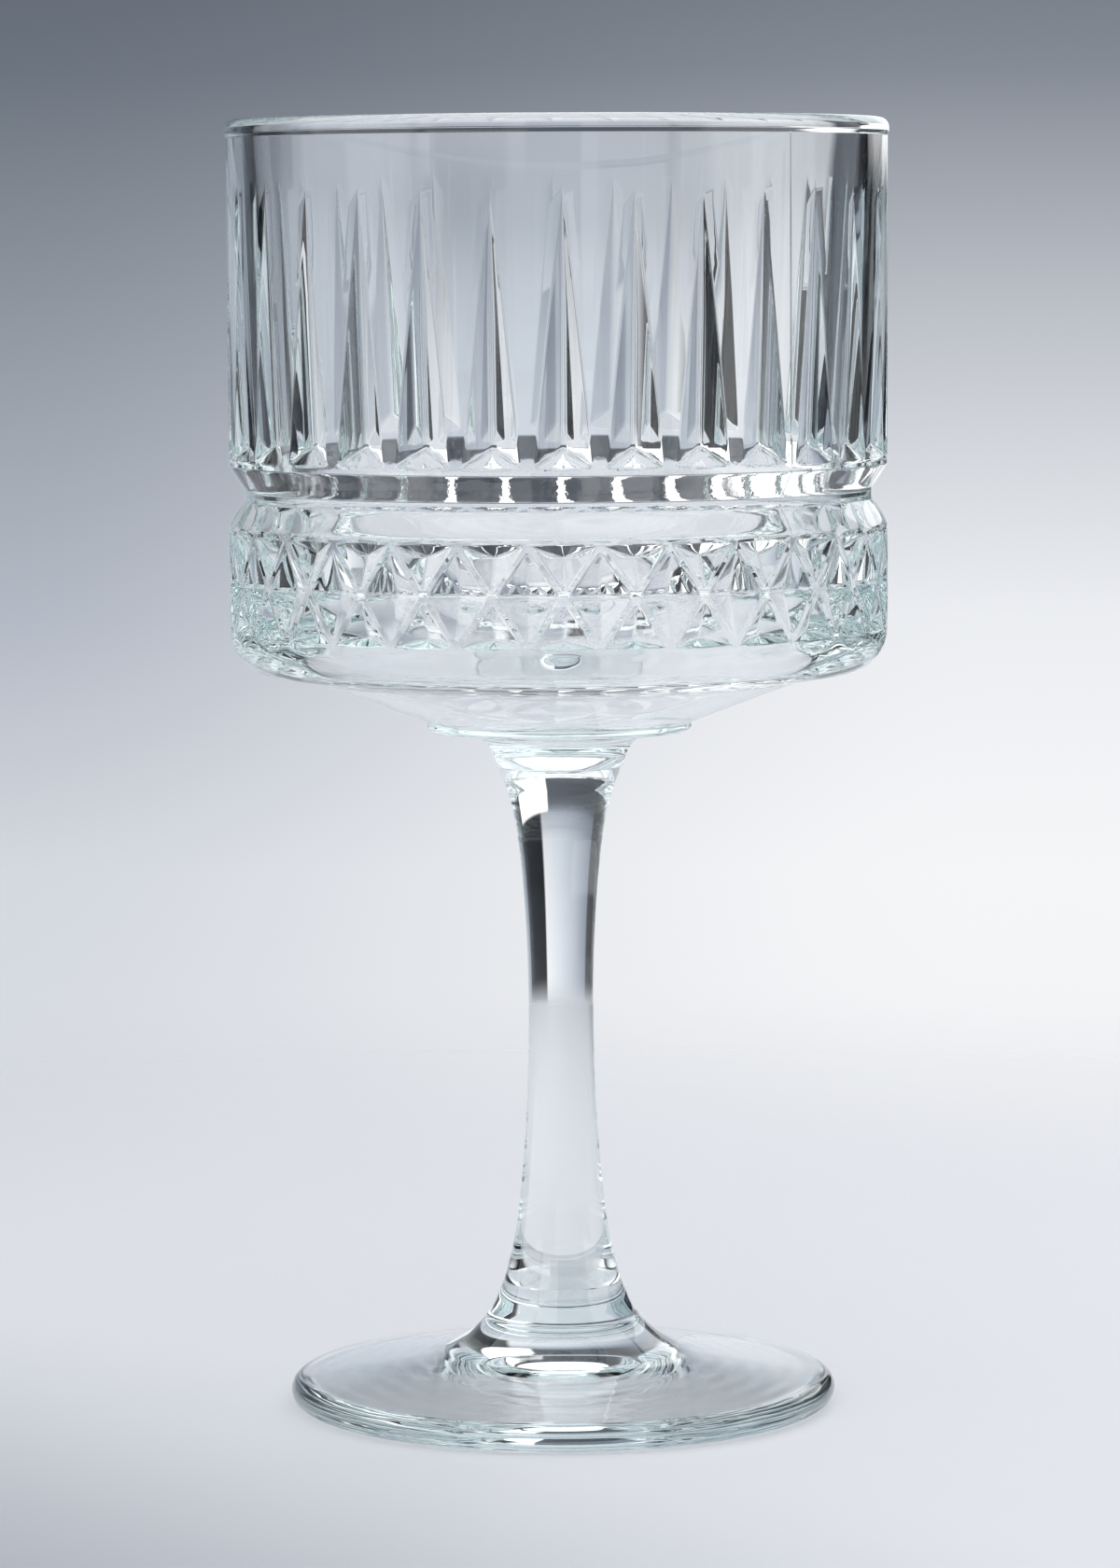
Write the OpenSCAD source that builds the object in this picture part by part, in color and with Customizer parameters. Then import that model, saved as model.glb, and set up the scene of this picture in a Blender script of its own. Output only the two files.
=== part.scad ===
// Stemmed gin glass in pressed clear glass: a straight cut-pattern bowl with a thick base,
// a slim waisted stem and a round foot, three pressed pieces fused face to face.
// Millimetres, +Z up, origin at the centre of the resting plane under the foot.
// A wedge cut faces -Y.

/* [Bowl] */
// outside diameter of the bowl's wall
bowl_d = 98.6; // [84:0.2:120]
// height of the bowl piece, from its joint with the stem to the rim
bowl_h = 97; // [84:0.5:130]
// wall thickness at the rim
wall_t = 3.9; // [3:0.1:5.5]
// how much the inside narrows from the rim to its bottom corner, so that the plunger lifts out
draft = 3.5; // [1:0.1:5]
// radius of the inside bottom corner
corner_r = 15; // [8:0.5:18]
// thickness of the base between the inside floor and the cone under it
base_t = 5; // [4:0.1:8]

/* [Rim] */
// height of the band formed by the ring mould under the lip
rim_h = 2.5; // [1.5:0.1:5]
// how far that band stands proud of the wall
rim_proud = 0.2; // [0.1:0.05:0.6]
// rounding of the lip
lip_r = 1.6; // [0.6:0.1:1.9]

/* [Ring groove] */
// depth of the ring groove between the two cut bands
ring_depth = 2.3; // [1:0.1:3]
// height of the groove's upper chamfer
ring_chamfer_h = 3.6; // [2:0.1:6]
// height of the groove's flat bottom
ring_flat_h = 1.7; // [1:0.1:5]
// height of the groove's lower slope
ring_slope_h = 3.9; // [3:0.1:8]

/* [Cut pattern] */
// number of pattern cells round the bowl
cells = 30; // [24:1:36]
// depth of a wedge cut at its lower end
wedge_depth = 1.6; // [0.6:0.1:2]
// width of the wall left between two wedge cuts at their lower ends
wedge_land = 2.1; // [1:0.1:3.5]
// height of a wedge cut's sloping end facet
wedge_end_h = 2.6; // [1.4:0.1:4]
// distance from the wedge cuts' tips up to the ring mould's band
wedge_tip_gap = 8; // [3:0.1:14]
// height of the plain strip under the wedge cuts
wedge_foot_gap = 1.3; // [0.8:0.1:3]
// height of the diamond band
diamond_h = 14.6; // [12:0.2:20]
// depth of the hollow diamonds and of the half diamonds
diamond_depth = 2; // [0.8:0.1:2.4]
// width of the ridges left between the diamonds
ridge_w = 1; // [0.8:0.1:2]
// height of the end facet of an upper half diamond
half_top_h = 1.6; // [1:0.1:3]
// height of the end facet of a lower half diamond
half_low_h = 1.1; // [0.8:0.1:3]
// plain strip above and below the diamond band
diamond_gap = 0.6; // [0.4:0.1:2]

/* [Underside of the bowl] */
// radius of the outside shoulder under the diamond band
shoulder_r = 6; // [4:0.5:9]
// how far the underside's kink line lies in from the wall
kink_in = 11.7; // [10:0.1:16]
// fall of the underside from the shoulder to the kink line
kink_fall = 1.1; // [0.5:0.1:2]
// fall of the cone from the kink line to the boss
cone_fall = 6.9; // [4:0.1:12]
// diameter of the boss over the stem
boss_d = 40; // [32:0.5:48]
// height of the boss corner above the joint with the stem
boss_rise = 6.6; // [5.5:0.1:9]
// rounding of the boss corner
boss_round = 1.1; // [0.5:0.1:1.6]

/* [Stem] */
// length of the stem piece, joint to joint
stem_len = 83; // [60:1:110]
// diameter at the waist
waist_d = 9.8; // [8:0.1:13]
// diameter at the joint with the bowl
stem_top_d = 18.8; // [15:0.2:22]
// diameter at the joint with the foot
stem_foot_d = 22.4; // [17:0.2:26]
// height of the waist, as a share of the stem's length
waist_at = 0.546; // [0.4:0.002:0.65]

/* [Foot] */
// diameter of the foot
foot_d = 82.5; // [70:0.5:100]
// thickness of the rounded edge
foot_edge_t = 4.3; // [3:0.1:5]
// height of the joint between the foot and the stem
foot_h = 13.6; // [11.5:0.1:18]
// diameter at the bottom of the flare under the stem
flare_d = 37.8; // [32:0.2:46]
// height of the foot's upper face at the flare
flare_z = 7.4; // [6:0.1:9]
// width of the flat ring that the foot rests on
rest_w = 1.5; // [1:0.1:4]
// diameter of the domed middle of the hollow under the foot
dome_d = 30; // [20:0.5:34]
// rise of that dome above the sloping rest of the hollow
dome_rise = 0.9; // [0.3:0.1:1.5]

/* [Hidden] */
$fn = 96;
arc_steps = 10;
curve_steps = 12;
stem_steps = 30;
cut_clear = 0.05;
half = 0.5;
right_angle = 90;
full_turn = 360;
deg_per_rad = 180 / PI;

wall_r = bowl_d * half;
foot_r = foot_d * half;
boss_r = boss_d * half;
joint_top = foot_h + stem_len;
rim_z = joint_top + bowl_h;

// levels of the bowl, from the joint up
boss_z = joint_top + boss_rise;
kink_z = boss_z + cone_fall;
kink_r = wall_r - kink_in;
fall_angle = atan(kink_fall / (kink_in - shoulder_r));
shoulder_z = kink_z + kink_fall + shoulder_r;
diamond_z = shoulder_z + diamond_gap + diamond_h * half;
band_top = diamond_z + diamond_h * half + diamond_gap;
neck_r = wall_r - ring_depth;
neck_low = band_top + ring_slope_h;
neck_high = neck_low + ring_flat_h;
upper_low = neck_high + ring_chamfer_h;
ring_z = rim_z - rim_h;

// inside of the bowl
lip_in = wall_r - wall_t;
corner_in = lip_in - draft;
base_slope = atan(cone_fall / (kink_r - boss_r));
dish_z = boss_z + base_t / cos(base_slope);
dish_low = dish_z - boss_r * half * tan(base_slope);
corner_x = corner_in - corner_r;
corner_end = corner_x + corner_r * sin(base_slope);
corner_z = dish_z + (corner_end - boss_r) * tan(base_slope) + corner_r * cos(base_slope);

// stub of the bowl over the stem
stub_flare = 0.8;
stub_share = 0.28;
fillet_out = 0.6;
fillet_share = 0.45;
under_fall = 0.6;
boss_corner_end = -27;
stub_r = stem_top_d * half;
stub_top = stub_r + stub_flare;
stub_rise = boss_rise * stub_share;
under_z = boss_z - boss_round - under_fall;
under_mid_z = boss_z - boss_round - under_fall * half;

// lower slope of the ring groove bulges near its foot
slope_in = 0.1;
slope_up = 0.3;

// stem radius grows by a slow square and a late eighth power
slow_power = 2;
late_power = 8;
slow_share = 0.6;

// how the foot's flare bends
flare_in = 0.27;
flare_up = 0.45;

// cells of the cut pattern, as lengths along the wall
cell_w = PI * bowl_d / cells;
turn = full_turn / cells;
wedge_low = upper_low + wedge_foot_gap;
wedge_half = (cell_w - wedge_land) * half;
diamond_half_w = cell_w * half;
diamond_half_h = diamond_h * half;
ridge_run = sqrt(diamond_half_w * diamond_half_w + diamond_half_h * diamond_half_h);
ridge_up = ridge_w * half * ridge_run / diamond_half_w;
ridge_side = ridge_w * half * ridge_run / diamond_half_h;

// points of an arc about [x, z], from one angle to another
function arc(x, z, r, from, to) =
    [for (i = [0 : arc_steps])
        let (a = from + (to - from) * i / arc_steps)
        [x + r * cos(a), z + r * sin(a)]];

// points of a curve from a to c that leaves a towards b and reaches c from b
function curve(a, b, c) =
    [for (i = [0 : curve_steps])
        let (t = i / curve_steps)
        (1 - t) * (1 - t) * a + 2 * t * (1 - t) * b + t * t * c];

// stem radius at share t of the way from the waist to an end of radius r
function flare(r, t) =
    let (grow = slow_share * pow(t, slow_power) + (1 - slow_share) * pow(t, late_power))
    waist_d * half + (r - waist_d * half) * grow;

// point on the wall's outside, x along the wall from the cell's middle, sunk by d
function on_wall(x, z, d) =
    let (a = x / wall_r * deg_per_rad)
    [(wall_r - d) * sin(a), -(wall_r - d) * cos(a), z];

// point p drawn out from the deepest point until it is clear of the wall
function drawn_out(p, deep) =
    let (k = (wall_r + cut_clear + deep[1]) / (deep[1] - p[1]))
    deep + k * (p - deep);

// hollow with flat facets that meet at its deepest point
// corners run clockwise on the wall, seen from outside
module facet_cut(deep, corners) {
    n = len(corners);
    polyhedron(
        points = concat([deep], [for (p = corners) drawn_out(p, deep)]),
        faces = concat(
            [[for (i = [1 : n]) i]],
            [for (i = [1 : n]) [0, i % n + 1, i]]
        )
    );
}

// long wedge cut of the upper band, deepest near its lower end
module wedge_cut() {
    facet_cut(
        on_wall(0, wedge_low + wedge_end_h, wedge_depth),
        [
            on_wall(0, ring_z - wedge_tip_gap, 0),
            on_wall(wedge_half, wedge_low, 0),
            on_wall(-wedge_half, wedge_low, 0)
        ]
    );
}

// whole hollow diamond of the lower band
module diamond_cut() {
    up = diamond_half_h - ridge_up;
    side = diamond_half_w - ridge_side;
    facet_cut(
        on_wall(0, diamond_z, diamond_depth),
        [
            on_wall(0, diamond_z + up, 0),
            on_wall(side, diamond_z, 0),
            on_wall(0, diamond_z - up, 0),
            on_wall(-side, diamond_z, 0)
        ]
    );
}

// half diamond at the top of the lower band, between two ridges
module upper_half_cut() {
    side = diamond_half_w - ridge_side;
    top = diamond_z + diamond_half_h;
    facet_cut(
        on_wall(0, top - half_top_h, diamond_depth),
        [
            on_wall(-side, top, 0),
            on_wall(side, top, 0),
            on_wall(0, diamond_z + ridge_up, 0)
        ]
    );
}

// half diamond at the bottom of the lower band
module lower_half_cut() {
    side = diamond_half_w - ridge_side;
    low = diamond_z - diamond_half_h;
    facet_cut(
        on_wall(0, low + half_low_h, diamond_depth),
        [
            on_wall(0, diamond_z - ridge_up, 0),
            on_wall(side, low, 0),
            on_wall(-side, low, 0)
        ]
    );
}

module cut_pattern() {
    for (k = [0 : cells - 1]) {
        rotate([0, 0, k * turn]) {
            wedge_cut();
            upper_half_cut();
            lower_half_cut();
        }
        rotate([0, 0, (k + half) * turn]) {
            diamond_cut();
        }
    }
}

// half section of the bowl
function bowl_outside() = concat(
    [[0, joint_top], [stub_r, joint_top]],
    curve(
        [stub_top, joint_top + stub_rise],
        [stub_top + fillet_out, under_z],
        [stub_top + (boss_r - stub_top) * fillet_share, under_mid_z]
    ),
    arc(boss_r - boss_round, boss_z, boss_round, -right_angle, boss_corner_end),
    [[kink_r, kink_z]],
    arc(wall_r - shoulder_r, shoulder_z, shoulder_r, fall_angle - right_angle, 0),
    curve(
        [wall_r, band_top],
        [wall_r - ring_depth * slope_in, band_top + ring_slope_h * slope_up],
        [neck_r, neck_low]
    ),
    [
        [neck_r, neck_high],
        [wall_r, upper_low],
        [wall_r, ring_z],
        [wall_r + rim_proud, ring_z]
    ]
);

function bowl_inside() = concat(
    arc(wall_r + rim_proud - lip_r, rim_z - lip_r, lip_r, 0, right_angle),
    arc(lip_in + lip_r, rim_z - lip_r, lip_r, right_angle, 2 * right_angle),
    arc(corner_x, corner_z, corner_r, 0, base_slope - right_angle),
    curve([boss_r, dish_z], [boss_r * half, dish_low], [0, dish_low])
);

module bowl() {
    color("lightcyan")
        difference() {
            rotate_extrude()
                polygon(concat(bowl_outside(), bowl_inside()));
            cut_pattern();
        }
}

module stem() {
    low = foot_h + stem_len * waist_at;
    color("powderblue")
        rotate_extrude()
            polygon(concat(
                [[0, foot_h]],
                [for (i = [0 : stem_steps])
                    let (t = 1 - i / stem_steps)
                    [flare(stem_foot_d * half, t), low + (foot_h - low) * t]],
                [for (i = [1 : stem_steps])
                    let (t = i / stem_steps)
                    [flare(stem_top_d * half, t), low + (joint_top - low) * t]],
                [[0, joint_top]]
            ));
}

module foot() {
    edge_r = foot_edge_t * half;
    edge_x = foot_r - edge_r;
    flare_r = flare_d * half;
    stem_r = stem_foot_d * half;
    fall = (flare_z - foot_edge_t) / (foot_r - flare_r);
    slope = atan(fall);
    rest_in = edge_x - rest_w;
    dome_r = dome_d * half;
    dome_z = fall * (rest_in - dome_r);
    dome_top = dome_z + dome_rise;
    color("paleturquoise")
        rotate_extrude()
            polygon(concat(
                curve([0, dome_top], [dome_r * half, dome_top], [dome_r, dome_z]),
                [[rest_in, 0]],
                arc(edge_x, edge_r, edge_r, -right_angle, right_angle - slope),
                curve(
                    [flare_r, flare_z],
                    [stem_r + (flare_r - stem_r) * flare_in, flare_z + (foot_h - flare_z) * flare_up],
                    [stem_r, foot_h]
                ),
                [[0, foot_h]]
            ));
}

bowl();
stem();
foot();
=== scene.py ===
import math

import bpy
from mathutils import Matrix, Vector


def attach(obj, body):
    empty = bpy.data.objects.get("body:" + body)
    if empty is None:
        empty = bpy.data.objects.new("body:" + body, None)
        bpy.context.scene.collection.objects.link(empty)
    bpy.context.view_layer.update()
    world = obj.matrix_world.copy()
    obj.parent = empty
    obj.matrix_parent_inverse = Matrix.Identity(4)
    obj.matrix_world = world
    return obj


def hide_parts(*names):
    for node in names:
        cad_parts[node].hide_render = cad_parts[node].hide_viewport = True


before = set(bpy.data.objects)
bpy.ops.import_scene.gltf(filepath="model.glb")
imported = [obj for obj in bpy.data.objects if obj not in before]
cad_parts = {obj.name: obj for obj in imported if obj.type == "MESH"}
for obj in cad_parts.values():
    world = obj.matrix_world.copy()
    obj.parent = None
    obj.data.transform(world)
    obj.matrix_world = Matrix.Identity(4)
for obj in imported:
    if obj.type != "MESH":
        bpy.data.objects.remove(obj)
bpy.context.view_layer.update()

MM = 0.001

# Fused joints: height, radius and the rows across their faces
JOINT_LOW, JOINT_LOW_R = 13.6, 11.2
JOINT_LOW_ROWS = 0.0, 5.5, 10.9
JOINT_TOP, JOINT_TOP_R = 96.6, 9.4
JOINT_TOP_ROWS = 0.0, 4.7, 9.15
FUSED_GAP = 0.004

# Bowl, outside: stub, boss, slope, kink, shoulder, band, ring groove, upper wall and rim.
# SHARE and TURN are shares of a way. The pairs in CROOK, SOFT and STEP are how far out and up,
# and in STEP the first is a share of RIM_PROUD
WALL_R = 49.3
STUB_SOFT = 0.25
STUB_SPREAD = 0.8
STUB_SHARE = 0.28
BOSS_R = 20.0
BOSS_Z = 103.2
BOSS_ROUND = 1.1
BOSS_SHARE = 0.45
BOSS_DRAFT = 0.3
BOSS_SWEEP = 0.6
BOSS_CROOK = (0.06, 0.24), (0.3, 0.44)
KINK_R = 37.6
KINK_Z = 110.1
KINK_SOFT = 0.12
SHOULDER_R = 6.0
SHOULDER_Z = 117.2
SHOULDER_FALL = math.degrees(math.atan(1.1 / 5.7))
BAND_TOP = 133.0
BAND_TOP_SOFT = 0.15
NECK_R = 47.0
NECK_LOW = 136.9
NECK_HIGH = 138.6
NECK_TURN = 0.1, 0.3
NECK_SOFT = 0.3
CHAMFER_SOFT = 0.08
UPPER_LOW = 142.2
UPPER_SOFT = (-0.06, -0.06), (0.0, 0.22)
RING_Z = 191.1
RING_STEP = (0.0, -0.35), (0.15, -0.12), (0.75, 0.12), (1.0, 0.4)
RIM_Z = 193.6
RIM_PROUD = 0.2
LIP_R = 1.6
LIP_FROM, LIP_TO = 8, 176

# Bowl, inside: wall, corner and base
WALL_T = 3.9
DRAFT = 3.5
LIP_IN = WALL_R - WALL_T
LIP_Z = RIM_Z - LIP_R
CORNER_R = 15.0
CORNER_IN = LIP_IN - DRAFT
BASE_T = 5.0

# Stem: waist, its share of the height, and how much of its swell is an even curve
WAIST_R = 4.9
WAIST_SHARE = 0.546
SWELL_EVEN = 0.6
STEM_ROWS = 40
STEM_SIDES = 128

# Foot: edge, fall, flare, resting ring and the dome underneath
FOOT_R = 41.25
FOOT_EDGE = 2.15
FLARE_R = 18.9
FLARE_Z = 7.4
FLARE_TURN = 0.27, 0.45
REST_W = 1.5
REST_SOFT = 0.3
DOME_R = 15.0
DOME_DEEP = 0.9
FOOT_SIDES = 192

# Cut pattern: wedges, and diamonds with half diamonds between ridges
CELLS = 30
CELL_ANGLE = 2 * math.pi / CELLS
CELL_HALF = math.pi * WALL_R / CELLS
LAND_HALF, LAND_LOW, LAND_TOP = 1.05, 1.3, 8.0
WEDGE_END = 2.6
WEDGE_LOW = UPPER_LOW + LAND_LOW
WEDGE_DEEP = WEDGE_LOW + WEDGE_END
WEDGE_TIP = RING_Z - LAND_TOP
WEDGE_HALF = CELL_HALF - LAND_HALF
WEDGE_DEPTH = 1.6
DIA_MID = 125.1
DIA_HALF = 7.3
DIA_DEPTH = 2.0
HALF_TOP_END = 1.6
HALF_LOW_END = 1.1
RIDGE_W = 1.0
RIDGE_RUN = math.hypot(CELL_HALF, DIA_HALF)
RIDGE_UP = RIDGE_W / 2 * RIDGE_RUN / CELL_HALF
RIDGE_SIDE = RIDGE_W / 2 * RIDGE_RUN / DIA_HALF
DIA_UP = DIA_HALF - RIDGE_UP
DIA_SIDE = CELL_HALF - RIDGE_SIDE

# Softness of the pressed edges and hollows. TIP values are shares of a wedge's depth
EDGE = 0.3
EDGE_SOFT = 0.09
HOLLOW_SOFT = 0.35
WEDGE_HOLLOW_SOFT = 0.4
TIP_SOFT = 0.5
TIP_DEPTH_LEAST = 0.05

# Rows and columns of a cell's skin, closer together where the form turns
BAND_ROWS = [0.0, 0.1, 0.25, 0.5, 0.8, RIDGE_UP, 1.35, 2.0, 2.9, 3.8, 4.6, 5.2, 5.45]
BAND_ROWS += [5.7, 5.95, 6.2, 6.45, 6.75, 7.0, 7.18, 7.3, 7.42, 7.6]
WEDGE_LOW_ROWS = [-0.5, -0.25, -0.1, 0.0, 0.1, 0.25, 0.5, 0.9, 1.4, 1.9, 2.3]
WEDGE_DEEP_ROWS = [0.0, 0.3, 0.7, 1.5, 3.0, 6.0, 10.0, 14.0, 18.0, 22.0, 26.0, 29.0, 32.0, 34.5]
WEDGE_TIP_ROWS = [0.0, 1.5, 4.0]
INSIDE_ROWS = [187.0, 177.0, 166.0, 155.0, 144.0, 133.0]
HALF_COLUMNS = 10
PLAIN_COLUMNS = [CELL_HALF * i / HALF_COLUMNS for i in range(HALF_COLUMNS + 1)]
WEDGE_COLUMN_GAP, BAND_COLUMN_GAP = 0.02, 0.04
WEDGE_TIP_HALF = 0.25
WEDGE_HOLLOW_STEP, WEDGE_HOLLOW_SHARE = 0.65, 0.35
WEDGE_EDGE_SHARE = 0.2
BAND_HOLLOW_STEP = 0.3
BAND_HOLLOW_LEAST = 0.15, 0.35

# Heights of the upper wall and of the band that get the true normals of their cuts
UPPER_CUT = UPPER_LOW + 0.1, RING_Z - 0.2
BAND_CUT = DIA_MID - DIA_HALF - 0.55, DIA_MID + DIA_HALF + 0.55


# Outlines


def arc(x, z, r, start, end, steps):
    """Points of an arc about (x, z), angles in degrees."""
    out = []
    for i in range(steps + 1):
        a = math.radians(start + (end - start) * i / steps)
        out.append((x + r * math.cos(a), z + r * math.sin(a)))
    return out


def curve(a, b, c, steps):
    """Points from a to c, leaving towards b and arriving from b."""
    out = []
    for i in range(steps + 1):
        t = i / steps
        shares = (1 - t) ** 2, 2 * t * (1 - t), t * t
        out.append(tuple(shares[0] * a[k] + shares[1] * b[k] + shares[2] * c[k] for k in (0, 1)))
    return out


def along(a, b, shares):
    """Points at these shares of the straight way from a to b."""
    return [(a[0] + (b[0] - a[0]) * t, a[1] + (b[1] - a[1]) * t) for t in shares]


# Cut pattern


def on_wall(x, z, depth=0.0):
    """Point on the wall's outside, x along the wall from the cell's middle."""
    a = x / WALL_R
    return Vector(((WALL_R - depth) * math.sin(a), -(WALL_R - depth) * math.cos(a), z))


def facets(deep, corners):
    """Planes through the deepest point and each pair of neighbouring corners."""
    planes = []
    for p, q in zip(corners, corners[1:] + corners[:1]):
        n = (p - deep).cross(q - deep).normalized()
        planes.append((n, n.dot(deep)))
    return planes


def plane_radius(plane, x, z):
    """Distance from the axis at which a ray at x meets the plane at height z."""
    n, c = plane
    a = x / WALL_R
    return (c - n.z * z) / (n.x * math.sin(a) - n.y * math.cos(a))


def soft_max(values, k):
    """The largest value, rounded over where two of them come within k of each other."""
    values = sorted(values)
    top = values[-1]
    for v in values[:-1]:
        h = max(k - abs(top - v), 0.0) / k
        top = max(top, v) + h * h * k / 4
    return top


def soft_min(a, b, k):
    """The smaller value, rounded under where the two come within k of each other."""
    h = max(k - abs(a - b), 0.0) / k
    return min(a, b) - h * h * k / 4


WEDGE = facets(
    on_wall(0, WEDGE_DEEP, WEDGE_DEPTH),
    [on_wall(0, WEDGE_TIP), on_wall(WEDGE_HALF, WEDGE_LOW), on_wall(-WEDGE_HALF, WEDGE_LOW)],
)
DIAMOND = facets(
    on_wall(0, DIA_MID, DIA_DEPTH),
    [
        on_wall(0, DIA_MID + DIA_UP),
        on_wall(DIA_SIDE, DIA_MID),
        on_wall(0, DIA_MID - DIA_UP),
        on_wall(-DIA_SIDE, DIA_MID),
    ],
)
HALF_TOP, HALF_LOW = (
    facets(
        on_wall(0, DIA_MID + DIA_HALF - end, DIA_DEPTH),
        [
            on_wall(-DIA_SIDE, DIA_MID + DIA_HALF),
            on_wall(DIA_SIDE, DIA_MID + DIA_HALF),
            on_wall(0, DIA_MID + RIDGE_UP),
        ],
    )
    for end in (HALF_TOP_END, HALF_LOW_END)
)


def wedge_radius(x, z):
    """Radius of the upper wall with its wedge cut."""
    share = (WEDGE_TIP - z) / (WEDGE_TIP - WEDGE_DEEP)
    depth = WEDGE_DEPTH * min(1.0, max(TIP_DEPTH_LEAST, share))
    soft = min(WEDGE_HOLLOW_SOFT, TIP_SOFT * depth)
    hollow = soft_max([plane_radius(p, x, z) for p in WEDGE], soft)
    return soft_min(WALL_R, hollow, min(EDGE_SOFT, TIP_SOFT * depth))


def band_radius(x, z):
    """Radius of the band. Its lower half mirrors its upper half, but for the end facets."""
    cut = HALF_TOP if z > DIA_MID else HALF_LOW
    z = DIA_MID + abs(z - DIA_MID)
    half = soft_max([plane_radius(p, x, z) for p in cut], HOLLOW_SOFT)
    whole = soft_max([plane_radius(p, abs(x) - CELL_HALF, z) for p in DIAMOND], HOLLOW_SOFT)
    return soft_min(soft_min(WALL_R, half, EDGE_SOFT), whole, EDGE_SOFT)


def spaced(xs, gap):
    """Columns pushed apart until each is at least gap from the next."""
    xs = list(xs)
    xs[0], xs[-1] = 0.0, CELL_HALF
    for i in range(1, len(xs)):
        xs[i] = max(xs[i], xs[i - 1] + gap)
    xs[-1] = CELL_HALF
    for i in range(len(xs) - 2, 0, -1):
        xs[i] = min(xs[i], xs[i + 1] - gap)
    return xs


def wedge_columns(z):
    """Columns that follow a wedge cut's hollow line, its edges and the land beside it."""
    z = min(max(z, WEDGE_LOW), WEDGE_TIP)
    side = max(WEDGE_HALF * (WEDGE_TIP - z) / (WEDGE_TIP - WEDGE_LOW), WEDGE_TIP_HALF)
    hollow = max(WEDGE_HALF * (WEDGE_DEEP - z) / (WEDGE_DEEP - WEDGE_LOW), 0.0)
    step = min(WEDGE_HOLLOW_STEP, WEDGE_HOLLOW_SHARE * side)
    soft = min(EDGE, WEDGE_EDGE_SHARE * side)
    columns = [0.0, max(hollow - step, step / 2), max(hollow, step), max(hollow, step) + step]
    columns += [side - soft, side - soft / 3, side + soft / 3, side + soft]
    land = CELL_HALF - side - soft
    columns += [side + soft + land / 3, side + soft + land * 2 / 3, CELL_HALF]
    return spaced(columns, WEDGE_COLUMN_GAP)


def band_columns(z):
    """Columns that follow the ridges between the diamonds and the hollow lines inside them."""
    end = HALF_TOP_END if z > DIA_MID else HALF_LOW_END
    z = min(DIA_MID + abs(z - DIA_MID), DIA_MID + DIA_HALF)
    low, top = DIA_MID + RIDGE_UP, DIA_MID + DIA_HALF
    inner = DIA_SIDE * (z - low) / (top - low)
    outer = CELL_HALF - DIA_SIDE * (DIA_MID + DIA_UP - z) / DIA_UP
    hollow = max(DIA_SIDE * (z - (top - end)) / end, 0.0)
    near, far = hollow - BAND_HOLLOW_STEP, hollow + BAND_HOLLOW_STEP
    columns = [0.0, max(near, BAND_HOLLOW_LEAST[0]), max(far, BAND_HOLLOW_LEAST[1])]
    columns += [inner - EDGE, inner, inner + EDGE, outer - EDGE, outer, outer + EDGE]
    columns += [CELL_HALF - BAND_HOLLOW_STEP, CELL_HALF]
    return spaced(columns, BAND_COLUMN_GAP)


# Sections of the pieces


def bowl_underside():
    """From the joint's middle over the stub, the boss, the slope and the kink to the shoulder."""
    points = [(r, JOINT_TOP) for r in JOINT_TOP_ROWS]
    points += [(JOINT_TOP_R, JOINT_TOP + STUB_SOFT)]
    stub_top = JOINT_TOP_R + STUB_SPREAD
    boss_low = BOSS_Z - BOSS_ROUND
    points += curve(
        (stub_top, JOINT_TOP + STUB_SHARE * (BOSS_Z - JOINT_TOP)),
        (stub_top + BOSS_SWEEP, boss_low - BOSS_SWEEP),
        (stub_top + BOSS_SHARE * (BOSS_R - stub_top), boss_low - BOSS_DRAFT),
        steps=6,
    )
    points += arc(BOSS_R - BOSS_ROUND, BOSS_Z, BOSS_ROUND, -90, 0, steps=5)
    points += [(BOSS_R + out, BOSS_Z + up) for out, up in BOSS_CROOK]
    points += along(points[-1], (KINK_R, KINK_Z), (0.03, 0.35, 0.65, 0.96))
    shoulder_x, start = WALL_R - SHOULDER_R, SHOULDER_FALL - 90
    shoulder = arc(shoulder_x, SHOULDER_Z, SHOULDER_R, start, 0, steps=9)
    kink, between = along((KINK_R, KINK_Z), shoulder[0], (0.09, 0.5))
    points += [(kink[0], kink[1] + KINK_SOFT), between]
    return points + shoulder[:-1]


def bowl_groove():
    """Ring groove, from the band's top in to its neck and out by the chamfer to the upper wall."""
    points = curve(
        (WALL_R, BAND_TOP + BAND_TOP_SOFT),
        (
            WALL_R - NECK_TURN[0] * (WALL_R - NECK_R),
            BAND_TOP + NECK_TURN[1] * (NECK_LOW - BAND_TOP),
        ),
        (NECK_R, NECK_LOW),
        steps=6,
    )
    points += [(NECK_R, NECK_LOW + NECK_SOFT), (NECK_R, NECK_HIGH - NECK_SOFT)]
    points += [(NECK_R + CHAMFER_SOFT, NECK_HIGH)]
    points += along((NECK_R, NECK_HIGH), (WALL_R, UPPER_LOW), (0.12, 0.5, 0.88))
    return points + [(WALL_R + out, UPPER_LOW + up) for out, up in UPPER_SOFT]


def bowl_rim():
    """The rim's ring, which stands proud of the wall by a soft step, and its rounded lip."""
    points = [(WALL_R + RIM_PROUD * out, RING_Z + up) for out, up in RING_STEP]
    points += arc(WALL_R + RIM_PROUD - LIP_R, LIP_Z, LIP_R, LIP_FROM, 90, steps=7)
    return points + arc(LIP_IN + LIP_R, LIP_Z, LIP_R, 90, LIP_TO, steps=7)


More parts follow.
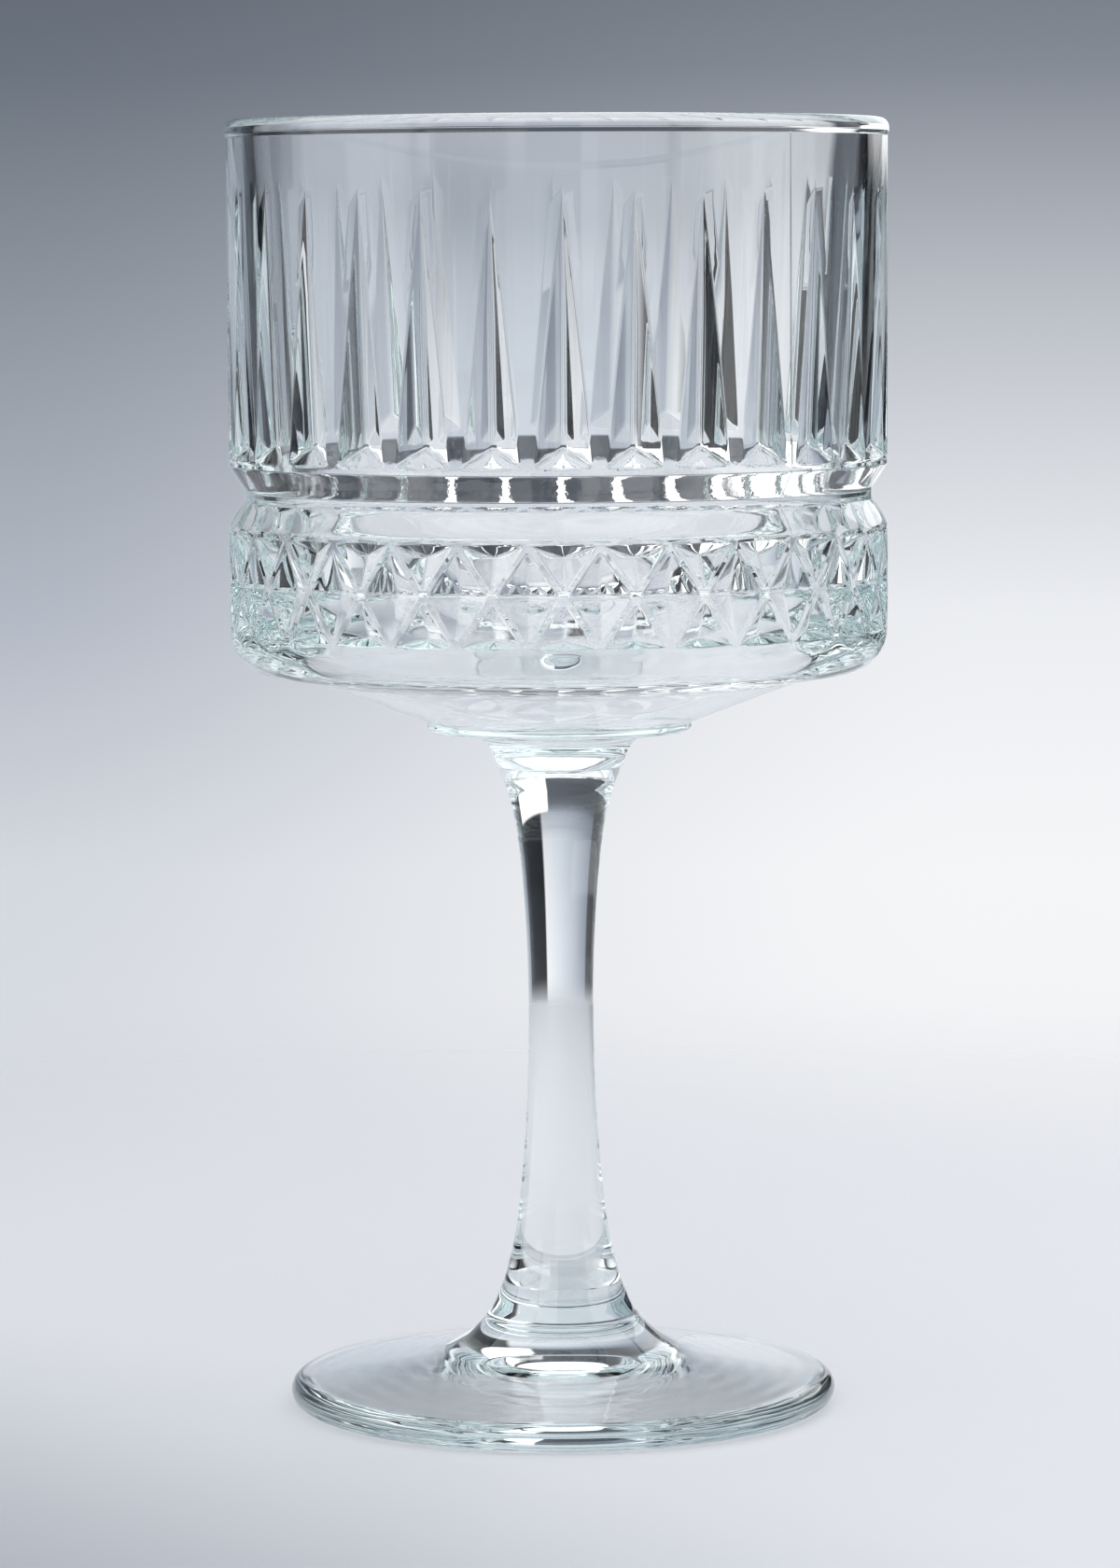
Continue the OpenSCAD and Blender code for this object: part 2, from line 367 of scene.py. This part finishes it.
def bowl_inside():
    """From the lip down the wall, round the corner and over the dish to the floor's middle."""
    slope = math.atan((KINK_Z - BOSS_Z) / (KINK_R - BOSS_R))
    dish = (BOSS_R, BOSS_Z + BASE_T / math.cos(slope))
    corner_x = CORNER_IN - CORNER_R
    end_x = corner_x + CORNER_R * math.sin(slope)
    end = (end_x, dish[1] + (end_x - BOSS_R) * math.tan(slope))
    corner_z = end[1] + CORNER_R * math.cos(slope)
    fall = (CORNER_IN - LIP_IN) / (corner_z - LIP_Z)
    points = [(LIP_IN + fall * (z - LIP_Z), z) for z in INSIDE_ROWS]
    points += arc(corner_x, corner_z, CORNER_R, 0, math.degrees(slope) - 90, steps=10)
    points += along(dish, end, (0.7, 0.3))
    low = dish[1] - BOSS_R * 0.5 * math.tan(slope)
    return points + curve(dish, (BOSS_R * 0.5, low), (0.0, low), steps=6)


def bowl_rows():
    """Rows of one cell's skin, from the joint's middle over the rim to the inside floor's middle.

    A row is (columns, radius function or number, height)."""
    rows = [(PLAIN_COLUMNS, r, z) for r, z in bowl_underside()]
    for up in [-u for u in reversed(BAND_ROWS[1:])] + BAND_ROWS:
        rows.append((band_columns(DIA_MID + up), band_radius, DIA_MID + up))
    rows += [(PLAIN_COLUMNS, r, z) for r, z in bowl_groove()]
    for level, ups in (
        (WEDGE_LOW, WEDGE_LOW_ROWS),
        (WEDGE_DEEP, WEDGE_DEEP_ROWS),
        (WEDGE_TIP, WEDGE_TIP_ROWS),
    ):
        rows += [(wedge_columns(level + up), wedge_radius, level + up) for up in ups]
    return rows + [(PLAIN_COLUMNS, r, z) for r, z in bowl_rim() + bowl_inside()]


def stem_radius(end, t):
    """Radius at share t of the way from the waist to an end, with a last swell close to it."""
    return WAIST_R + (end - WAIST_R) * (SWELL_EVEN * t**2 + (1 - SWELL_EVEN) * t**8)


def stem_outline():
    """From the lower joint's middle up over the waist to the upper joint's middle."""
    low, top = JOINT_LOW + FUSED_GAP, JOINT_TOP - FUSED_GAP
    waist = JOINT_LOW + WAIST_SHARE * (JOINT_TOP - JOINT_LOW)
    points = [(r, low) for r in JOINT_LOW_ROWS]
    for i in range(1, STEM_ROWS + 1):
        t = 1 - i / STEM_ROWS
        points.append((stem_radius(JOINT_LOW_R, t), waist + (low - waist) * t))
    for i in range(1, STEM_ROWS):
        t = i / STEM_ROWS
        points.append((stem_radius(JOINT_TOP_R, t), waist + (top - waist) * t))
    return points + [(r, top) for r in reversed(JOINT_TOP_ROWS)]


def foot_outline():
    """From the middle of the underside over the edge, the fall and the flare to the joint."""
    edge_x = FOOT_R - FOOT_EDGE
    fall = (FLARE_Z - 2 * FOOT_EDGE) / (FOOT_R - FLARE_R)
    rest = (edge_x - REST_W, 0.0)
    dome_z = fall * (rest[0] - DOME_R)
    dome_top = dome_z + DOME_DEEP
    points = curve((0.0, dome_top), (DOME_R * 0.5, dome_top), (DOME_R, dome_z), steps=10)
    points += along((DOME_R, dome_z), rest, (0.06, 0.3, 0.6, 0.9, 0.97))
    points += [(rest[0] + REST_SOFT, 0.0)]
    slope = math.degrees(math.atan(fall))
    points += arc(edge_x, FOOT_EDGE, FOOT_EDGE, -90, 90 - slope, steps=22)
    points += along(points[-1], (FLARE_R, FLARE_Z), (0.05, 0.3, 0.6, 0.9))
    flare = curve(
        (FLARE_R, FLARE_Z),
        (
            JOINT_LOW_R + FLARE_TURN[0] * (FLARE_R - JOINT_LOW_R),
            FLARE_Z + FLARE_TURN[1] * (JOINT_LOW - FLARE_Z),
        ),
        (JOINT_LOW_R, JOINT_LOW),
        steps=16,
    )
    return points + flare[1:-1] + [(r, JOINT_LOW) for r in reversed(JOINT_LOW_ROWS)]


# Making pieces

# Merging distance in metres, angle at which shading breaks, weight of the larger faces (50 is
# none), and the step in millimetres over which a cut's slope is measured
MERGE = 2e-6
SHARP = math.radians(50)
AREA_WEIGHT = 60
NORMAL_STEP = 0.01


def edit(obj):
    """Selects a piece alone and all of its mesh in edit mode."""
    bpy.ops.object.select_all(action="DESELECT")
    obj.select_set(True)
    bpy.context.view_layer.objects.active = obj
    bpy.ops.object.mode_set(mode="EDIT")
    bpy.ops.mesh.select_mode(type="VERT")
    bpy.ops.mesh.select_all(action="SELECT")


def close_up(obj):
    """Merges seams and poles, turns the faces outward and smooths them by their area."""
    edit(obj)
    bpy.ops.mesh.remove_doubles(threshold=MERGE)
    bpy.ops.mesh.normals_make_consistent(inside=False)
    bpy.ops.object.mode_set(mode="OBJECT")
    bpy.ops.object.shade_smooth_by_angle(angle=SHARP)
    weights = obj.modifiers.new("weights", "WEIGHTED_NORMAL")
    weights.mode = "FACE_AREA"
    weights.weight = AREA_WEIGHT
    weights.keep_sharp = True
    bpy.ops.object.modifier_apply(modifier=weights.name)


def cut_normal(radius, x, z, angle):
    """Outward normal of a cut surface, x along the wall in its cell, at the place's angle."""
    d = NORMAL_STEP
    side = (radius(x + d, z) - radius(x - d, z)) / (2 * d) * WALL_R / radius(x, z)
    up = (radius(x, z + d) - radius(x, z - d)) / (2 * d)
    out = Vector((math.sin(angle), -math.cos(angle), 0.0))
    around = Vector((math.cos(angle), math.sin(angle), 0.0))
    return (out - around * side - Vector((0, 0, up))).normalized()


def smooth_cuts(bowl):
    """Gives the cut bands the true normals of their facets, so flat and round places stay so."""
    mesh = bowl.data
    exact = {}
    for vertex in mesh.vertices:
        r, z = math.hypot(vertex.co.x, vertex.co.y) / MM, vertex.co.z / MM
        if UPPER_CUT[0] < z < UPPER_CUT[1] and r > NECK_R:
            radius = wedge_radius
        elif BAND_CUT[0] < z < BAND_CUT[1] and r > NECK_R:
            radius = band_radius
        else:
            continue
        angle = math.atan2(vertex.co.x, -vertex.co.y)
        x = (angle - CELL_ANGLE * round(angle / CELL_ANGLE)) * WALL_R
        exact[vertex.index] = cut_normal(radius, x, z, angle)
    normals = []
    for loop, corner in zip(mesh.loops, mesh.corner_normals):
        normals.append(exact.get(loop.vertex_index, Vector(corner.vector)))
    mesh.normals_split_custom_set(normals)


def make_bowl():
    """One pattern cell is shaped from a grid, copied round the axis and merged."""
    rows = bowl_rows()
    bpy.ops.object.select_all(action="DESELECT")
    bpy.ops.mesh.primitive_grid_add(
        x_subdivisions=2 * HALF_COLUMNS, y_subdivisions=len(rows) - 1, size=1.0
    )
    bowl = bpy.context.object
    bowl.name = "bowl_cut_glass"
    places = []
    for columns, radius, z in rows:
        for x in [-c for c in reversed(columns[1:])] + list(columns):
            r = radius(x, z) if callable(radius) else radius
            a = x / WALL_R
            places += [r * math.sin(a) * MM, -r * math.cos(a) * MM, z * MM]
    bowl.data.vertices.foreach_set("co", places)
    bowl.data.update()
    edit(bowl)
    bpy.ops.mesh.spin(
        steps=CELLS - 1,
        dupli=True,
        angle=CELL_ANGLE * (CELLS - 1),
        center=(0, 0, 0),
        axis=(0, 0, 1),
    )
    bpy.ops.object.mode_set(mode="OBJECT")
    close_up(bowl)
    smooth_cuts(bowl)
    return bowl


def make_turned(name, outline, sides):
    """Spins a half section, given from axis to axis, round the Z axis."""
    mesh = bpy.data.meshes.new(name)
    corners = [(r * MM, 0.0, z * MM) for r, z in outline]
    mesh.from_pydata(corners, [(i, i + 1) for i in range(len(corners) - 1)], [])
    obj = bpy.data.objects.new(name, mesh)
    bpy.context.collection.objects.link(obj)
    edit(obj)
    bpy.ops.mesh.spin(
        steps=sides,
        angle=2 * math.pi,
        center=(0, 0, 0),
        axis=(0, 0, 1),
        use_auto_merge=True,
    )
    bpy.ops.object.mode_set(mode="OBJECT")
    close_up(obj)
    return obj


# Materials

# Relief left by the mould: waves, grain of the ring groove, seams and turning rings of the foot
WAVE_SIZE, WAVE_TALL = 9 * MM, 0.006 * MM
GRAIN_SIZE, GRAIN_TALL = 0.6 * MM, 0.006 * MM
SEAMS, SEAM_AT = 3, math.radians(138)
SEAM_HALF, SEAM_TALL = 0.25, 0.02 * MM
RIPPLE_STEP, RIPPLE_TALL = 3.4 * MM, 0.004 * MM

# Glass: its IOR, its tint over a way of this length inside it, and its clear shadow
GLASS_IOR = 1.52
GLASS_TINT, TINT_WAY = "D8EFF1", 120 * MM
GLASS_SHADOW = "FAFCFC"


def linear(hex_colour):
    """sRGB hex to linear RGBA."""
    out = []
    for i in (0, 2, 4):
        c = int(hex_colour[i : i + 2], 16) / 255
        out.append(c / 12.92 if c <= 0.04045 else ((c + 0.055) / 1.055) ** 2.4)
    return (*out, 1.0)


def add(tree, kind, values=(), stops=(), **settings):
    """Adds a node with its colour stops and properties, and sets its inputs or links them."""
    node = tree.nodes.new(kind)
    for place, colour in stops:
        share = (place - stops[0][0]) / (stops[-1][0] - stops[0][0])
        ends = node.color_ramp.elements
        element = ends[0] if share == 0 else ends[-1] if share == 1 else ends.new(share)
        element.color = linear(colour)
    for key, value in settings.items():
        setattr(node, key, value)
    for key, value in dict(values).items():
        if isinstance(value, bpy.types.NodeSocket):
            tree.links.new(value, node.inputs[key])
        else:
            node.inputs[key].default_value = value
    return node


def limited(tree, value, limits):
    """A value times a soft step for each limit: what it reads, from, to, share before and after."""
    for source, low, high, first, last in limits:
        step = add(
            tree,
            "ShaderNodeMapRange",
            {"Value": source, "From Min": low, "From Max": high, "To Min": first, "To Max": last},
            interpolation_type="SMOOTHSTEP",
        )
        held = add(tree, "ShaderNodeMath", {0: step.outputs[0], 1: value}, operation="MULTIPLY")
        value = held.outputs[0]
    return value


def new_material(name):
    material = bpy.data.materials.new(name)
    material.use_nodes = True
    material.node_tree.nodes.clear()
    return material, material.node_tree


def glass_material():
    """Soda-lime glass, pressed and fire-polished: clear, with a blue-green tint where it is thick.

    The mould leaves long soft waves, three fine seams, a grain in the groove and turning rings on
    the foot, which bend what shows through."""
    material, tree = new_material("soda_lime_glass")
    spot = add(tree, "ShaderNodeTexCoord").outputs["Object"]
    place = add(tree, "ShaderNodeSeparateXYZ", {0: spot})
    height = place.outputs["Z"]
    flat = add(tree, "ShaderNodeVectorMath", {0: spot, 1: (1, 1, 0)}, operation="MULTIPLY")
    reach = add(tree, "ShaderNodeVectorMath", {0: flat.outputs[0]}, operation="LENGTH")
    reach = reach.outputs["Value"]
    azimuth = add(
        tree,
        "ShaderNodeMath",
        {0: place.outputs["X"], 1: place.outputs["Y"]},
        operation="ARCTAN2",
    )
    turned = add(tree, "ShaderNodeMath", {0: azimuth.outputs[0], 1: SEAM_AT}, operation="SUBTRACT")
    off_seam = add(
        tree, "ShaderNodeMath", {0: turned.outputs[0], 1: math.pi / SEAMS}, operation="PINGPONG"
    )
    waves = add(
        tree, "ShaderNodeTexNoise", {"Vector": spot, "Scale": 1 / WAVE_SIZE, "Detail": 0.0}
    )
    grain = add(
        tree, "ShaderNodeTexNoise", {"Vector": spot, "Scale": 1 / GRAIN_SIZE, "Detail": 1.0}
    )
    rings = add(
        tree, "ShaderNodeMath", {0: reach, 1: 2 * math.pi / RIPPLE_STEP}, operation="MULTIPLY"
    )
    ripple = add(tree, "ShaderNodeMath", {0: rings.outputs[0]}, operation="SINE")
    outside = (reach, (NECK_R - 1.3) * MM, (NECK_R - 0.8) * MM, 0.0, 1.0)
    groove = (
        outside,
        (height, (NECK_LOW - 0.4) * MM, NECK_LOW * MM, 0.0, 1.0),
        (height, WEDGE_LOW * MM, (WEDGE_DEEP + 0.5) * MM, 1.0, 0.0),
    )
    seams = (
        outside,
        (off_seam.outputs[0], 0.0, SEAM_HALF / WALL_R, 1.0, 0.0),
        (height, SHOULDER_Z * MM, (SHOULDER_Z + 0.5) * MM, 0.0, 1.0),
        (height, (RING_Z - 0.5) * MM, RING_Z * MM, 1.0, 0.0),
    )
    foot_top = (
        (height, (FLARE_Z - 0.4) * MM, (FLARE_Z + 0.1) * MM, 1.0, 0.0),
        (reach, (FLARE_R + 0.1) * MM, (FLARE_R + 3.1) * MM, 0.0, 1.0),
    )
    relief = 0.0
    for value, tall, limits in (
        (waves.outputs[0], WAVE_TALL, ()),
        (grain.outputs[0], GRAIN_TALL, groove),
        (1.0, SEAM_TALL, seams),
        (ripple.outputs[0], RIPPLE_TALL, foot_top),
    ):
        value = limited(tree, value, limits)
        higher = add(
            tree, "ShaderNodeMath", {0: value, 1: tall, 2: relief}, operation="MULTIPLY_ADD"
        )
        relief = higher.outputs[0]
    bump = add(tree, "ShaderNodeBump", {"Strength": 1.0, "Distance": 1.0, "Height": relief})
    path = add(tree, "ShaderNodeLightPath")
    sides = add(tree, "ShaderNodeNewGeometry")
    way = add(
        tree,
        "ShaderNodeMapRange",
        {"Value": path.outputs["Ray Length"], "From Min": 0.0, "From Max": TINT_WAY},
    )
    depth = add(
        tree,
        "ShaderNodeMath",
        {0: way.outputs[0], 1: sides.outputs["Backfacing"]},
        operation="MULTIPLY",
    )
    tint = add(
        tree,
        "ShaderNodeMix",
        {"Factor": depth.outputs[0], "A": (1, 1, 1, 1), "B": linear(GLASS_TINT)},
        data_type="RGBA",
    )
    shader = add(
        tree,
        "ShaderNodeBsdfGlass",
        {
            "Color": tint.outputs["Result"],
            "Roughness": 0.0,
            "IOR": GLASS_IOR,
            "Normal": bump.outputs[0],
        },
    )
    through = add(tree, "ShaderNodeBsdfTransparent", {"Color": linear(GLASS_SHADOW)})
    lit = add(
        tree,
        "ShaderNodeMixShader",
        {0: path.outputs["Is Shadow Ray"], 1: shader.outputs[0], 2: through.outputs[0]},
    )
    add(tree, "ShaderNodeOutputMaterial", {"Surface": lit.outputs[0]})
    return material


def fused_material():
    """Inside a fused joint there is no surface, so light goes straight on."""
    material, tree = new_material("fused_joint")
    shader = add(tree, "ShaderNodeBsdfTransparent", {"Color": (1, 1, 1, 1)})
    add(tree, "ShaderNodeOutputMaterial", {"Surface": shader.outputs[0]})
    return material


# Pieces

# A face this flat and this near a joint's height is inside the joint
JOINT_FLAT = 0.99
JOINT_NEAR = 0.03

glass = glass_material()
fused = fused_material()


def dress(obj, node, joints):
    """Gives a piece its glass, its clear joint faces, its body and its place in the frame."""
    obj.data.materials.append(glass)
    obj.data.materials.append(fused)
    for face in obj.data.polygons:
        flat = abs(face.normal.z) > JOINT_FLAT
        at_joint = any(abs(face.center.z - z * MM) < JOINT_NEAR * MM for z in joints)
        face.material_index = int(flat and at_joint)
    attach(obj, "root")
    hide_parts(node)


bowl = make_bowl()
stem = make_turned("stem_waisted", stem_outline(), STEM_SIDES)
foot = make_turned("foot_disc", foot_outline(), FOOT_SIDES)
dress(bowl, "bowl", (JOINT_TOP,))
dress(stem, "stem", (JOINT_LOW, JOINT_TOP))
dress(foot, "foot", (JOINT_LOW,))


# Stage, in metres

scene = bpy.context.scene

# The floor fades into the backdrop for the camera and ends further out for all else. Its colour
# carries painted shade, darker away from the light
FLOOR_R, FLOOR_DROP = 0.75, 0.0001
FLOOR_FADE, FLOOR_END = (0.16, 0.5), (0.47, 0.52)
FLOOR_TO_LIGHT, FLOOR_DUSK = (0.75, 0.65, 0.0), (-0.17, -0.01)


def floor_paper():
    """Matt paper, pale and even, with painted shade: its colour is a little darker at the left,
    away from the light.
    """
    material, tree = new_material("pale_floor")
    spot = add(tree, "ShaderNodeTexCoord").outputs["Object"]
    reach = add(tree, "ShaderNodeVectorMath", {0: spot}, operation="LENGTH").outputs["Value"]
    along_light = add(
        tree, "ShaderNodeVectorMath", {0: spot, 1: FLOOR_TO_LIGHT}, operation="DOT_PRODUCT"
    )
    fade, end, lit = (
        add(
            tree,
            "ShaderNodeMapRange",
            {"Value": source, "From Min": low, "From Max": high},
            interpolation_type="SMOOTHSTEP",
        ).outputs[0]
        for source, (low, high) in (
            (reach, FLOOR_FADE),
            (reach, FLOOR_END),
            (along_light.outputs["Value"], FLOOR_DUSK),
        )
    )
    path = add(tree, "ShaderNodeLightPath")
    unseen = add(
        tree,
        "ShaderNodeMix",
        {"Factor": path.outputs["Is Camera Ray"], "A": end, "B": fade},
        data_type="FLOAT",
    )
    # Painted shade: the paper's colour darkens on the side away from the light
    painted_shade_tone = add(
        tree,
        "ShaderNodeMix",
        {"Factor": lit, "A": linear("A6ACB5"), "B": linear("E1E3E8")},
        data_type="RGBA",
    )
    paper = add(
        tree,
        "ShaderNodeBsdfPrincipled",
        {"Base Color": painted_shade_tone.outputs["Result"], "Roughness": 0.6},
    )
    clear = add(tree, "ShaderNodeBsdfTransparent")
    shader = add(
        tree,
        "ShaderNodeMixShader",
        {0: unseen.outputs[0], 1: paper.outputs[0], 2: clear.outputs[0]},
    )
    add(tree, "ShaderNodeOutputMaterial", {"Surface": shader.outputs[0]})
    return material


bpy.ops.object.select_all(action="DESELECT")
bpy.ops.mesh.primitive_circle_add(
    vertices=128, radius=FLOOR_R, fill_type="NGON", location=(0, 0, -FLOOR_DROP)
)
floor = bpy.context.object
floor.name = "floor"
floor.data.materials.append(floor_paper())


# Lit wall round the table, which only the glass and the floor show: on each side a panel that
# is brighter to its right and fades upwards, dark room between the panels, and white softboxes
WALL_STAND = 0.65
WALL_LOW, WALL_TOP = -0.12, 0.6
# One panel and the gap beside it, in degrees round the table
PANEL_ACROSS = [
    (-36, "4A4E55"),
    (-34, "919AA6"),
    (-22, "AFB6C2"),
    (-10, "CDD3DD"),
    (0, "E3E8F0"),
    (10, "F3F6FA"),
    (17, "FCFDFF"),
    (19, "0D0E10"),
    (40, "121416"),
    (54, "4A4E55"),
]
# Shade of the wall by its height in millimetres
PANEL_UPWARD = [
    (0, "FFFFFF"),
    (60, "F6F7F8"),
    (85, "F2F3F5"),
    (110, "ECEEF0"),
    (128, "DFE1E4"),
    (142, "CBCED2"),
    (165, "C4C7CC"),
    (185, "B3B7BC"),
    (205, "8E9298"),
    (225, "6A6E74"),
    (250, "5A5E64"),
    (310, "50545A"),
    (600, "50545A"),
]
# The gaps are pale low down, up to the table's height and by this much more on the near side
GAP_PALE, GAP_FADE = "D4D7DC", 0.03
GAP_NEAR, GAP_NEAR_RISE = 0.25, 0.085
KEY_POWER, FILL_POWER = 1.6, 1.3


def lit_paper():
    """White paper lit from behind: it glows softly and has no gloss of its own."""
    material, tree = new_material("lit_paper")
    coords = add(tree, "ShaderNodeTexCoord")
    spot = add(tree, "ShaderNodeSeparateXYZ", {0: coords.outputs["Object"]})
    height = spot.outputs["Z"]
    azimuth = add(
        tree, "ShaderNodeMath", {0: spot.outputs["X"], 1: spot.outputs["Y"]}, operation="ARCTAN2"
    ).outputs[0]
    start = math.radians(PANEL_ACROSS[0][0])
    wide = math.radians(PANEL_ACROSS[-1][0]) - start
    turn = add(tree, "ShaderNodeMath", {0: azimuth, 1: -start}, operation="ADD").outputs[0]
    turn = add(tree, "ShaderNodeMath", {0: turn, 1: wide}, operation="FLOORED_MODULO").outputs[0]
    share = add(tree, "ShaderNodeMapRange", {"Value": turn, "From Min": 0.0, "From Max": wide})
    across = add(tree, "ShaderNodeValToRGB", {"Fac": share.outputs[0]}, PANEL_ACROSS)
    rise = add(
        tree,
        "ShaderNodeMapRange",
        {
            "Value": spot.outputs["Y"],
            "From Min": -GAP_NEAR,
            "From Max": 0.0,
            "To Min": GAP_NEAR_RISE,
            "To Max": 0.0,
        },
        interpolation_type="SMOOTHSTEP",
    )
    over = add(tree, "ShaderNodeMath", {0: height, 1: rise.outputs[0]}, operation="SUBTRACT")
    gaps = add(
        tree,
        "ShaderNodeMapRange",
        {"Value": over.outputs[0], "From Min": -GAP_FADE, "From Max": 0.0},
        interpolation_type="SMOOTHSTEP",
    )
    across = add(
        tree,
        "ShaderNodeMix",
        {"Factor": gaps.outputs[0], "A": linear(GAP_PALE), "B": across.outputs["Color"]},
        data_type="RGBA",
    )
    tall = PANEL_UPWARD[-1][0] * MM
    share = add(tree, "ShaderNodeMapRange", {"Value": height, "From Min": 0.0, "From Max": tall})
    upward = add(tree, "ShaderNodeValToRGB", {"Fac": share.outputs[0]}, PANEL_UPWARD)
    studio = add(
        tree,
        "ShaderNodeMix",
        {"Factor": 1.0, "A": across.outputs["Result"], "B": upward.outputs["Color"]},
        data_type="RGBA",
        blend_type="MULTIPLY",
    )
    half_turn = add(
        tree, "ShaderNodeMath", {0: azimuth, 1: math.pi}, operation="FLOORED_MODULO"
    ).outputs[0]
    abreast = add(tree, "ShaderNodeMath", {0: azimuth}, operation="ABSOLUTE").outputs[0]
    key = (
        (half_turn, math.radians(10), math.radians(12), 0.0, 1.0),
        (half_turn, math.radians(46), math.radians(49), 1.0, 0.0),
        (height, 0.185, 0.205, 0.0, 1.0),
        (height, 0.54, 0.57, 1.0, 0.0),
    )
    fill = (
        (abreast, math.radians(82), math.radians(86), 0.0, 1.0),
        (abreast, math.radians(126), math.radians(132), 1.0, 0.0),
        (height, 0.1, 0.12, 0.0, 1.0),
        (height, 0.5, 0.53, 1.0, 0.0),
    )
    for power, limits in ((KEY_POWER, key), (FILL_POWER, fill)):
        box = (power, power, power, 1.0)
        studio = add(
            tree,
            "ShaderNodeMix",
            {"Factor": limited(tree, 1.0, limits), "A": studio.outputs["Result"], "B": box},
            data_type="RGBA",
        )
    glow = add(tree, "ShaderNodeEmission", {"Color": studio.outputs["Result"], "Strength": 1.0})
    clear = add(tree, "ShaderNodeBsdfTransparent")
    path = add(tree, "ShaderNodeLightPath")
    shader = add(
        tree,
        "ShaderNodeMixShader",
        {0: path.outputs["Is Camera Ray"], 1: glow.outputs[0], 2: clear.outputs[0]},
    )
    add(tree, "ShaderNodeOutputMaterial", {"Surface": shader.outputs[0]})
    return material


bpy.ops.object.select_all(action="DESELECT")
bpy.ops.mesh.primitive_cylinder_add(
    vertices=128,
    radius=WALL_STAND,
    depth=WALL_TOP - WALL_LOW,
    end_fill_type="NOTHING",
    location=(0, 0, (WALL_TOP + WALL_LOW) / 2),
)
bpy.ops.object.transform_apply(location=True)
wall = bpy.context.object
wall.name = "studio_wall"
wall.data.materials.append(lit_paper())


# Backdrop as the camera sees it, in degrees above the eye, with painted shade: darker upwards and
# to the left, where less light reaches it
BACKDROP_LEFT = [
    (-8.4, "D9DDE3"),
    (-6.3, "D4D8DF"),
    (-3.8, "B4BAC5"),
    (-0.4, "8A919B"),
    (1.6, "6C747F"),
    (4, "555C66"),
]
BACKDROP_RIGHT = [
    (-8.4, "F3F4F6"),
    (-6.3, "F5F6F8"),
    (-3.8, "ECEEF2"),
    (-0.4, "B5B9C1"),
    (1.6, "858B95"),
    (4, "5E646E"),
]
BACKDROP_SIDE = 0.09
# Dark room for the glass and the floor, with a white ceiling
ROOM_DARK, CEILING = "585C62", (1.25, 1.26, 1.28, 1.0)
CEILING_LOW, CEILING_FULL = math.radians(30), math.radians(42)


def studio_world():
    world = bpy.data.worlds.new("studio")
    world.use_nodes = True
    tree = world.node_tree
    tree.nodes.clear()
    coords = add(tree, "ShaderNodeTexCoord")
    ray = add(tree, "ShaderNodeSeparateXYZ", {0: coords.outputs["Generated"]})
    rise = add(tree, "ShaderNodeMath", {0: ray.outputs["Z"]}, operation="ARCSINE").outputs[0]
    low, high = math.radians(BACKDROP_LEFT[0][0]), math.radians(BACKDROP_LEFT[-1][0])
    share = add(tree, "ShaderNodeMapRange", {"Value": rise, "From Min": low, "From Max": high})
    left, right = (
        add(tree, "ShaderNodeValToRGB", {"Fac": share.outputs[0]}, stops).outputs["Color"]
        for stops in (BACKDROP_LEFT, BACKDROP_RIGHT)
    )
    side = add(
        tree,
        "ShaderNodeMapRange",
        {"Value": ray.outputs["X"], "From Min": -BACKDROP_SIDE, "From Max": BACKDROP_SIDE},
        interpolation_type="SMOOTHSTEP",
    )
    ceiling = add(
        tree,
        "ShaderNodeMapRange",
        {"Value": rise, "From Min": CEILING_LOW, "From Max": CEILING_FULL},
        interpolation_type="SMOOTHSTEP",
    )
    path = add(tree, "ShaderNodeLightPath")
    seen, room = (
        add(tree, "ShaderNodeMix", {"Factor": factor, "A": a, "B": b}, data_type="RGBA")
        for factor, a, b in (
            (side.outputs[0], left, right),
            (ceiling.outputs[0], linear(ROOM_DARK), CEILING),
        )
    )
    shown = add(
        tree,
        "ShaderNodeMix",
        {
            "Factor": path.outputs["Is Camera Ray"],
            "A": room.outputs["Result"],
            "B": seen.outputs["Result"],
        },
        data_type="RGBA",
    )
    background = add(
        tree, "ShaderNodeBackground", {"Color": shown.outputs["Result"], "Strength": 1.0}
    )
    add(tree, "ShaderNodeOutputWorld", {"Surface": background.outputs[0]})
    return world


scene.world = studio_world()

# Soft light from above, at the right behind the glass, for the floor's shading
LAMP_AT = Vector((0.35, 0.25, 0.95))
LAMP_SIZE, LAMP_POWER = 0.6, 1.7

lamp_data = bpy.data.lights.new("softbox_over", "AREA")
lamp_data.size = LAMP_SIZE
lamp_data.energy = LAMP_POWER
lamp = bpy.data.objects.new("softbox_over", lamp_data)
bpy.context.collection.objects.link(lamp)
lamp.location = LAMP_AT
lamp.rotation_euler = (-LAMP_AT).to_track_quat("-Z", "Y").to_euler()
lamp.visible_glossy = False
lamp.visible_transmission = False

scene.view_settings.view_transform = "Standard"
scene.cycles.max_bounces = 32
scene.cycles.transmission_bounces = 32
scene.cycles.glossy_bounces = 16
scene.cycles.transparent_max_bounces = 32


# Camera

FOCAL = 6214.0
IMAGE_TALL = 1680
SENSOR = 36.0
DISTANCE, EYE = 0.87, 0.1768
TILT, ROLL, SIDE = math.radians(5.44), math.radians(0.30), math.radians(0.85)

camera_data = bpy.data.cameras.new("camera")
camera_data.lens = SENSOR * FOCAL / IMAGE_TALL
camera = bpy.data.objects.new("camera", camera_data)
bpy.context.collection.objects.link(camera)
camera.matrix_world = (
    Matrix.Rotation(-SIDE, 4, "Z")
    @ Matrix.Translation((0, -DISTANCE, EYE))
    @ Matrix.Rotation(math.pi / 2 - TILT, 4, "X")
    @ Matrix.Rotation(-ROLL, 4, "Z")
)
scene.camera = camera
